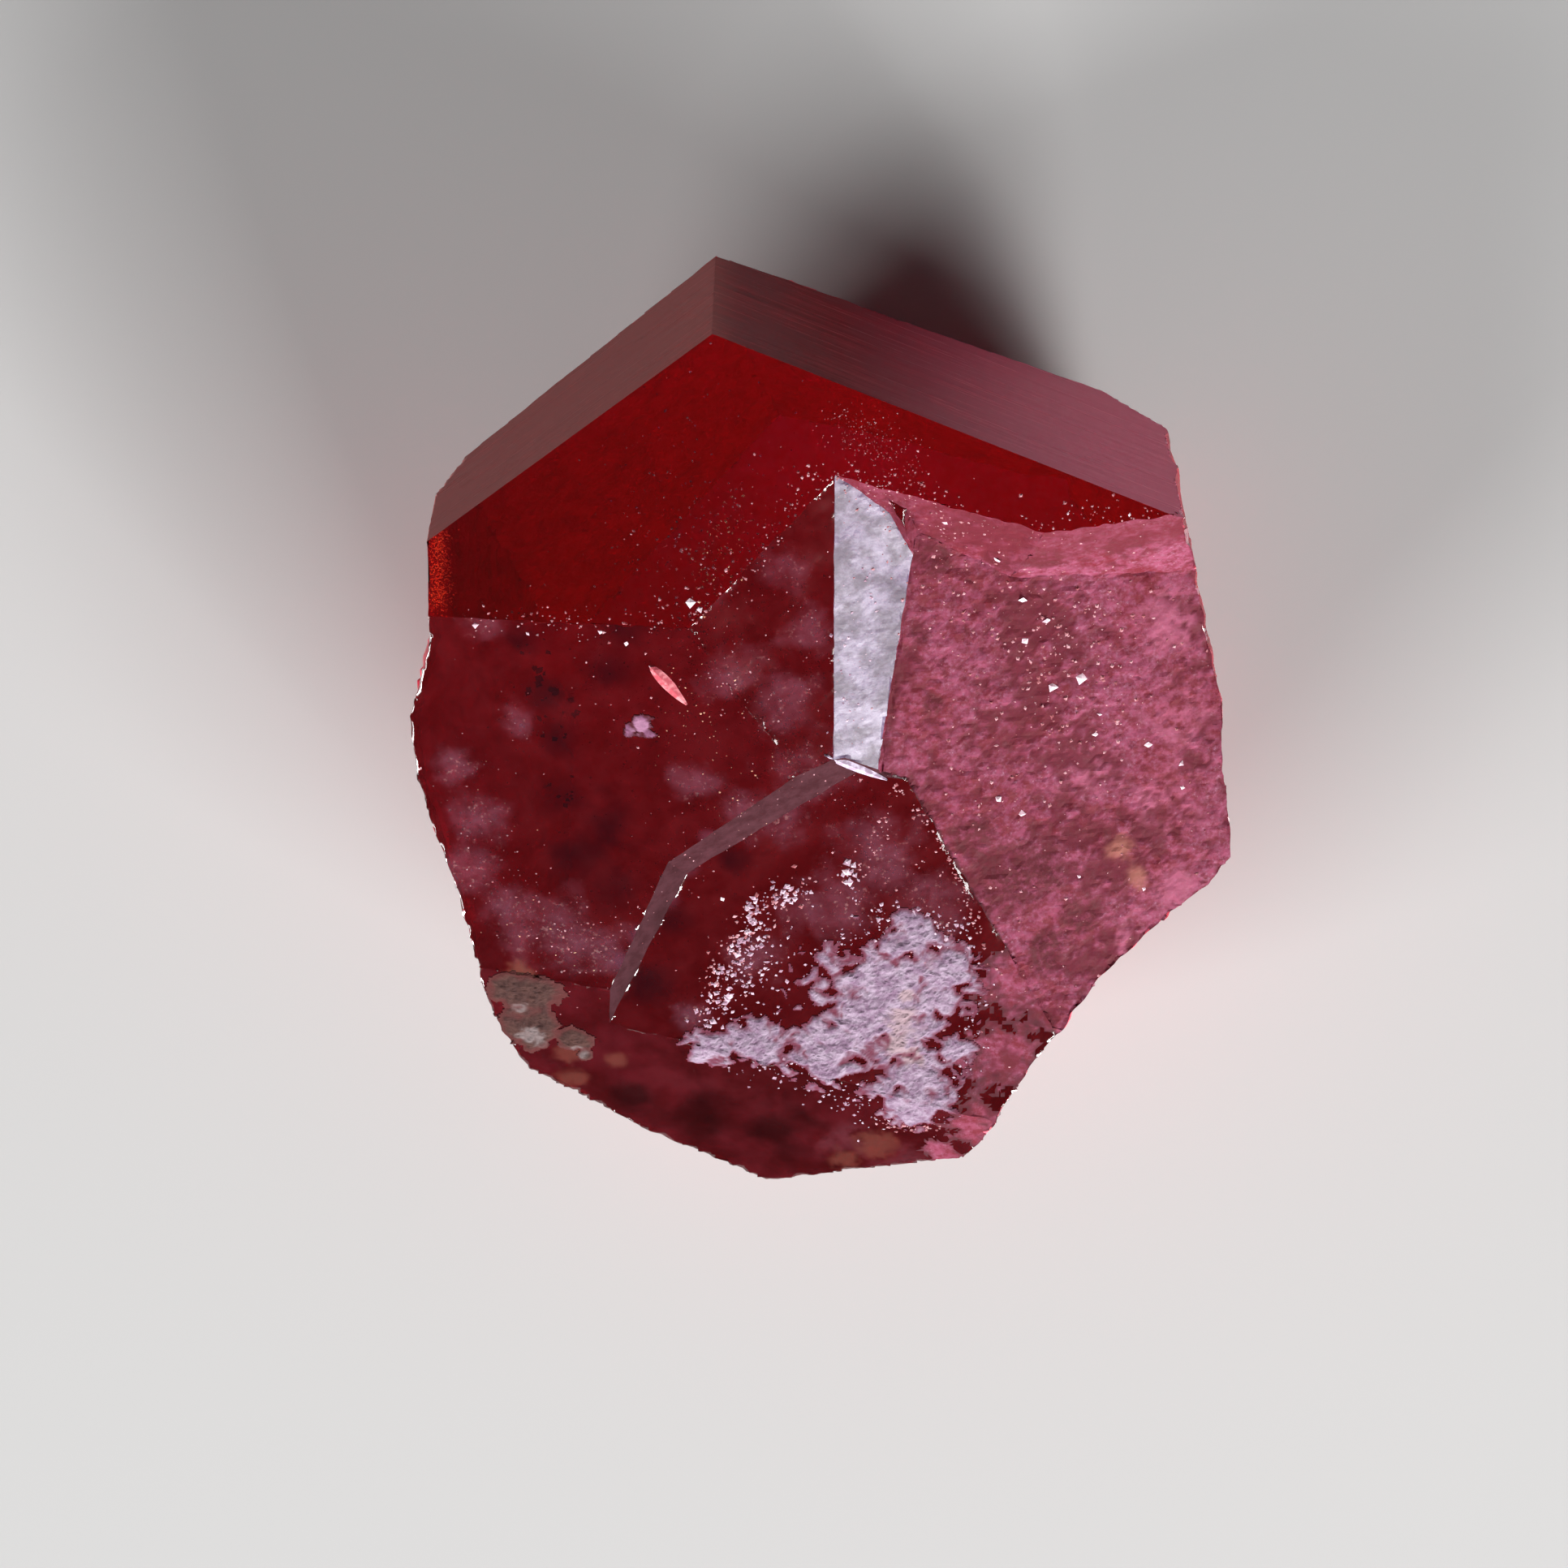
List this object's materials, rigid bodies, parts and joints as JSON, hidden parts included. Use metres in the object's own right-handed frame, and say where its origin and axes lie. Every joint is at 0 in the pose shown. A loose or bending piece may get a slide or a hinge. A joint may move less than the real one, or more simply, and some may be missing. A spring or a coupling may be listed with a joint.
{
  "type": "raw red beryl crystal",
  "caption": "Raw red beryl crystal: a stubby hexagonal prism with a smooth end, a broken stepped front and patches of pale crust, lying on its root.",
  "frame": {"origin": "centre of the footprint, on the surface that the crystal lies on", "axes": "+Z along the crystal's six-fold axis, from the root parting to the smooth end face; +Y towards the corner between the two whole prism faces; +X to the right when looking at the front"},
  "size_m": [0.0082, 0.0096, 0.005],
  "materials": {
    "crystal": "glassy on the natural faces, frosted and sugary on the breaks, deep raspberry red inside",
    "crust": "matt, chalky, white to lilac with cream and beige stains",
    "veil": "fine glints and frosted veils inside the crystal",
    "inclusion": "dark, matt blotches and specks inside the crystal"
  },
  "bodies": {
    "root": {"crystal": "crystal"}
  },
  "joints": []
}
